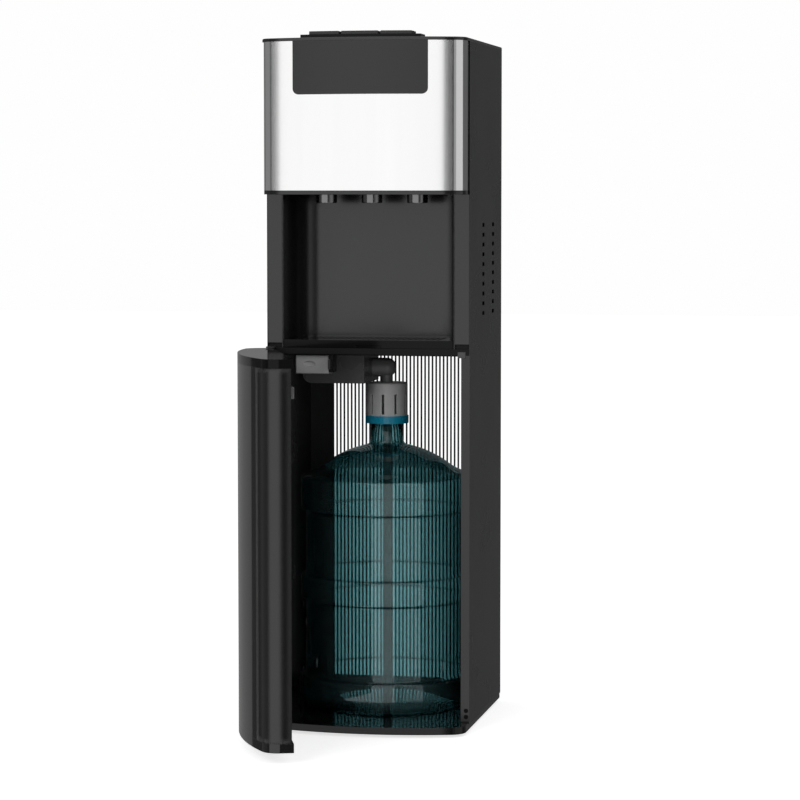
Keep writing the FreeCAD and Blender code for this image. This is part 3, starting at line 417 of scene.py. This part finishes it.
clearSet = {
    "bottleColour": (0.31, 0.515, 0.535),
    # The edge colour is painted shade, mixed into the bottle's rim where the wall is seen aslant
    "edgeShadeColour": (0.05, 0.14, 0.15),
    "edgeShadeReach": 1.6,
    "bottleThrough": 0.95,
    "bottleRoughness": (0.010, 0.020),
    "bottleIor": 1.11,
    "bottleCloud": 14.0,
    "bottleGloss": 0.9,
    "glossRoughness": 0.02,
    "glossIor": 1.5,
    "waterTint": (0.97, 0.99, 0.99),
    "waterColour": (0.02, 0.10, 0.11),
    "waterCloud": 10.0,
    "waterCloudDetail": 1.0,
    "waterRoughness": 0.04,
    "waterGloss": (0.01, 0.02),
}


def bottleMaterial():
    # Tinted polycarbonate: clear, with faint flow marks, and a painted shade that darkens the wall
    # where it is seen aslant
    material, tree, shader = newMaterial("bottle_plastic")
    cloud = noiseOf(tree, clearSet["bottleCloud"], noiseSet["grainDetail"])
    # Painted shade: the wall seen aslant is mixed towards the dark edge colour
    aslant = tree.nodes.new("ShaderNodeLayerWeight")
    reach = tree.nodes.new("ShaderNodeMath")
    reach.operation = "MULTIPLY"
    reach.use_clamp = True
    reach.inputs[1].default_value = clearSet["edgeShadeReach"]
    tree.links.new(aslant.outputs["Facing"], reach.inputs[0])
    tintWithEdgeShade = mixColours(tree, reach.outputs[0], clearSet["bottleColour"], clearSet["edgeShadeColour"])
    tree.links.new(tintWithEdgeShade, shader.inputs["Base Color"])
    shader.inputs["Transmission Weight"].default_value = clearSet["bottleThrough"]
    shader.inputs["IOR"].default_value = clearSet["bottleIor"]
    shader.inputs["Coat Weight"].default_value = clearSet["bottleGloss"]
    shader.inputs["Coat Roughness"].default_value = clearSet["glossRoughness"]
    shader.inputs["Coat IOR"].default_value = clearSet["glossIor"]
    tree.links.new(spread(tree, cloud, *clearSet["bottleRoughness"]), shader.inputs["Roughness"])
    return material


def waterMaterial():
    # Still water: nearly unseen behind the tinted wall
    material, tree, shader = newMaterial("water")
    through = tree.nodes.new("ShaderNodeBsdfTransparent")
    through.inputs["Color"].default_value = (*clearSet["waterTint"], 1.0)
    cloud = noiseOf(tree, clearSet["waterCloud"], clearSet["waterCloudDetail"])
    shader.inputs["Base Color"].default_value = (*clearSet["waterColour"], 1.0)
    shader.inputs["Roughness"].default_value = clearSet["waterRoughness"]
    mix = tree.nodes.new("ShaderNodeMixShader")
    tree.links.new(spread(tree, cloud, *clearSet["waterGloss"]), mix.inputs[0])
    tree.links.new(through.outputs[0], mix.inputs[1])
    tree.links.new(shader.outputs[0], mix.inputs[2])
    tree.links.new(mix.outputs[0], tree.nodes["Material Output"].inputs["Surface"])
    return material


def makeFinishes():
    made = {name: surfaceMaterial(name, look) for name, look in finishes.items()}
    made["bottle_plastic"] = bottleMaterial()
    made["water"] = waterMaterial()
    return made


# Black mouldings darkened with painted shade and a weak gloss, so that they read as shadow: the button
# surround as a dark shadow line, the rail, tray and base as dark
paintedShadeBlack = {
    "colour": (0.0045, 0.0045, 0.0046), "otherColour": (0.0060, 0.0060, 0.0061), "cloudScale": 9.0,
    "roughness": (0.07, 0.11), "grainScale": 200.0, "grainDepth": 0.000003,
    "specular": 0.13, "edge": 0.001,
}

# Nodes whose own moulding differs from the rest of their slot
nodeLooks = {
    # Painted shade: these mouldings take the darkened black
    "door_top_rail": paintedShadeBlack,
    "drip_tray": paintedShadeBlack,
    "button_surround": paintedShadeBlack,
    "base_pan": {**paintedShadeBlack, "specular": 0.34},
    "door_edge_strip": {**finishes["front_black"], "edge": 0.012},
    "probe_cap": {
        "colour": (0.49, 0.49, 0.49), "otherColour": (0.53, 0.53, 0.53), "cloudScale": 30.0,
        "roughness": (0.34, 0.42), "grainScale": 900.0, "grainDepth": 0.00002, "edge": 0.0008,
    },
    "probe_holder": {
        "colour": (0.25, 0.25, 0.25), "otherColour": (0.28, 0.28, 0.28), "cloudScale": 30.0,
        "roughness": (0.34, 0.42), "grainScale": 900.0, "grainDepth": 0.00002, "edge": 0.0008,
    },
    "alcove_liner": {
        "colour": (0.0095, 0.0095, 0.0097), "otherColour": (0.0115, 0.0115, 0.0117), "cloudScale": 6.0,
        "roughness": (0.14, 0.17), "grainScale": 160.0, "grainDepth": 0.000003,
        "specular": 0.72, "edge": 0.013,
    },
    "spouts": {
        "colour": (0.20, 0.20, 0.20), "otherColour": (0.23, 0.23, 0.23), "cloudScale": 40.0,
        "roughness": (0.14, 0.18), "grainScale": 400.0, "grainDepth": 0.000003,
        "metallic": 1.0, "edge": 0.001,
    },
    "probe_elbow": {
        "colour": (0.19, 0.19, 0.192), "otherColour": (0.21, 0.21, 0.212), "cloudScale": 40.0,
        "roughness": (0.30, 0.38), "grainScale": 700.0, "grainDepth": 0.00001,
        "specular": 0.45, "edge": 0.001,
    },
    "pump_housing": {
        "colour": (0.085, 0.085, 0.086), "otherColour": (0.100, 0.100, 0.101), "cloudScale": 22.0,
        "roughness": (0.26, 0.34), "grainScale": 600.0, "grainDepth": 0.00002,
        "specular": 0.45, "edge": 0.0012,
    },
    "compartment_ceiling": {
        "colour": (0.008, 0.008, 0.008), "otherColour": (0.011, 0.011, 0.011), "cloudScale": 14.0,
        "roughness": (0.30, 0.36), "grainScale": 500.0, "grainDepth": 0.00002,
        "specular": 0.12, "edge": 0.0008,
    },
    "striker_plate": {
        "colour": (0.050, 0.050, 0.050), "otherColour": (0.075, 0.075, 0.075), "cloudScale": 90.0,
        "roughness": (0.30, 0.40), "grainScale": 300.0, "grainDepth": 0.00001,
        "specular": 0.4, "edge": 0.0005,
    },
    "door_latch": {
        "colour": (0.10, 0.10, 0.10), "otherColour": (0.14, 0.14, 0.14), "cloudScale": 120.0,
        "roughness": (0.34, 0.42), "grainScale": 400.0, "grainDepth": 0.00002,
        "specular": 0.4, "edge": 0.0006,
    },
    "post_screws": {
        "colour": (0.004, 0.004, 0.004), "otherColour": (0.006, 0.006, 0.006), "cloudScale": 200.0,
        "roughness": (0.45, 0.55), "grainScale": 900.0, "grainDepth": 0.00001, "specular": 0.1,
    },
    "door_switch": {
        "colour": (0.006, 0.006, 0.006), "otherColour": (0.009, 0.009, 0.009), "cloudScale": 60.0,
        "roughness": (0.36, 0.44), "grainScale": 700.0, "grainDepth": 0.00001,
        "specular": 0.2, "edge": 0.0006,
    },
}


def dressNodes(made):
    for part in frame["record"]["subparts"]:
        name = part["node"]
        own = made[part["material_slot"]]
        if name in nodeLooks:
            own = surfaceMaterial(name, nodeLooks[name])
        for materialSlot in nodes[name].material_slots:
            materialSlot.material = own


materials = makeFinishes()
dressNodes(materials)
print("CAD nodes dressed")


# Bottle: one turned shell with rounded rings, a pushed-up base and a plain neck

bottleSet = {
    "wide": 0.136,
    "waist": 0.1282,
    "wall": 0.0012,
    "foot": ((0.0, 0.014), (0.07192, 0.0112), (0.10904, 0.0)),
    "heel": 0.016,
    "heelShare": 0.7,
    "ringEdges": (0.0502, 0.1718, 0.2085, 0.3125),
    "ringSlope": 0.003,
    "ringBend": 0.0035,
    "bend": 0.011,
    "shoulderStart": 0.363,
    "shoulderBend": 0.004,
    "shoulder": ((0.106, 0.3765), (0.086, 0.3915), (0.060, 0.4045), (0.040, 0.4105)),
    "neckStart": 0.4145,
    "neckRadius": 0.0258,
    "segments": 160,
    "bendSteps": 5,
    "longestBend": 0.45,
    "onAxis": 1e-6,
}


def roundCorner(before, corner, after, radius):
    # Points of a smooth bend that replaces one corner of an outline
    toBefore = before - corner
    toAfter = after - corner
    longest = bottleSet["longestBend"]
    reach = min(radius, toBefore.length * longest, toAfter.length * longest)
    start = corner + toBefore.normalized() * reach
    end = corner + toAfter.normalized() * reach
    points = []
    for step in range(bottleSet["bendSteps"] + 1):
        t = step / bottleSet["bendSteps"]
        points.append(start * (1 - t) ** 2 + corner * 2 * t * (1 - t) + end * t ** 2)
    return points


def smoothOutline(outline, bends):
    # Every inner point of the outline is a corner, and bends holds the radius of each
    points = [Vector(point) for point in outline]
    smooth = [points[0]]
    for before, corner, after, radius in zip(points, points[1:], points[2:], bends):
        smooth += roundCorner(before, corner, after, radius)
    smooth.append(points[-1])
    return smooth


def smoothMesh(made, name):
    # Ends a mesh: normals outward and smooth shading all over
    bmesh.ops.recalc_face_normals(made, faces=made.faces)
    mesh = bpy.data.meshes.new(name)
    made.to_mesh(mesh)
    made.free()
    mesh.polygons.foreach_set("use_smooth", [True] * len(mesh.polygons))
    return mesh


def turnedMesh(name, outline, segments):
    # Revolves an outline of (radius, height) points about the upright axis and closes it on itself
    made = bmesh.new()
    rings = []
    for radius, height in outline:
        if radius < bottleSet["onAxis"]:
            rings.append([made.verts.new((0.0, 0.0, height))])
            continue
        ring = []
        for k in range(segments):
            turn = 2 * math.pi * k / segments
            ring.append(made.verts.new((radius * math.cos(turn), radius * math.sin(turn), height)))
        rings.append(ring)
    for lower, upper in zip(rings, rings[1:]):
        for k in range(segments):
            n = (k + 1) % segments
            if len(lower) == 1 and len(upper) == 1:
                continue
            if len(lower) == 1:
                made.faces.new((lower[0], upper[n], upper[k]))
            elif len(upper) == 1:
                made.faces.new((lower[k], lower[n], upper[0]))
            else:
                made.faces.new((lower[k], lower[n], upper[n], upper[k]))
    return smoothMesh(made, name)


def bottleOutline(inset, floor, rim):
    wide = bottleSet["wide"] - inset
    waist = bottleSet["waist"] - inset
    slope = bottleSet["ringSlope"]
    low, midLow, midHigh, high = (floor + edge for edge in bottleSet["ringEdges"])
    foot = [
        *((radius, floor + height + inset) for radius, height in bottleSet["foot"]),
        (wide - bottleSet["heel"] * bottleSet["heelShare"], floor + inset),
        (wide, floor + bottleSet["heel"] + inset),
    ]
    rings = [
        (wide, low), (waist, low + slope), (waist, midLow - slope), (wide, midLow),
        (wide, midHigh), (waist, midHigh + slope), (waist, high - slope), (wide, high),
    ]
    top = [
        (wide, floor + bottleSet["shoulderStart"]),
        *((radius - inset / 2, floor + height - inset) for radius, height in bottleSet["shoulder"]),
        (bottleSet["neckRadius"] - inset, floor + bottleSet["neckStart"] - inset / 2),
        (bottleSet["neckRadius"] - inset, rim),
    ]
    bend = bottleSet["bend"]
    bends = [bend] * (len(foot) - 1) + [bottleSet["ringBend"]] * len(rings)
    bends += [bottleSet["shoulderBend"]] + [bend] * (len(top) - 2)
    return smoothOutline(foot + rings + top, bends)


def makeBottle():
    low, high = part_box("water_bottle")
    outside = bottleOutline(0.0, low[2], high[2])
    inside = bottleOutline(bottleSet["wall"], low[2], high[2])
    mesh = turnedMesh("clearBottle", outside + inside[::-1], bottleSet["segments"])
    bottle = linkObject("clearBottle", mesh)
    bottle.data.materials.append(materials["bottle_plastic"])
    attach(bottle, "cabinet")
    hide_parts("water_bottle")


makeBottle()
print("bottle made")


# Return springs: a wire coil under each push button

springSet = {
    "sides": ("left", "middle", "right"),
    "wire": 0.0012,
    "turns": 3.25,
    "stepsPerTurn": 28,
    "wireSides": 8,
    "pressedShare": 0.47,
}


def coilMesh(name, low, high):
    wire = springSet["wire"] / 2
    middle = (low + high) / 2
    coilRadius = (high.x - low.x) / 2 - wire
    climb = high.z - low.z - 2 * wire
    steps = round(springSet["turns"] * springSet["stepsPerTurn"])
    sides = springSet["wireSides"]
    points = []
    for step in range(steps + 1):
        share = step / steps
        turn = 2 * math.pi * springSet["turns"] * share
        outward = Vector((math.cos(turn), math.sin(turn), 0.0))
        centre = Vector((middle.x, middle.y, low.z + wire + climb * share)) + outward * coilRadius
        for side in range(sides):
            angle = 2 * math.pi * side / sides
            rise = Vector((0.0, 0.0, wire * math.sin(angle)))
            points.append(centre + outward * wire * math.cos(angle) + rise)
    faces = [tuple(range(sides)), tuple(range(steps * sides, (steps + 1) * sides))[::-1]]
    for step in range(steps):
        for side in range(sides):
            after = (side + 1) % sides
            first = step * sides
            faces.append((first + side, first + sides + side, first + sides + after, first + after))
    made = bmesh.new()
    corners = [made.verts.new(point) for point in points]
    for face in faces:
        made.faces.new([corners[k] for k in face])
    return smoothMesh(made, name)


def makeSprings():
    for side in springSet["sides"]:
        node = "button_spring_" + side
        low, high = (Vector(corner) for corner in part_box(node))
        name = side + "ButtonCoil"
        coil = linkObject(name, coilMesh(name, low, high))
        coil.data.materials.append(materials["tank_steel"])
        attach(coil, "cabinet")
        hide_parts(node)
        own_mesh(coil)


makeSprings()
print("springs made")
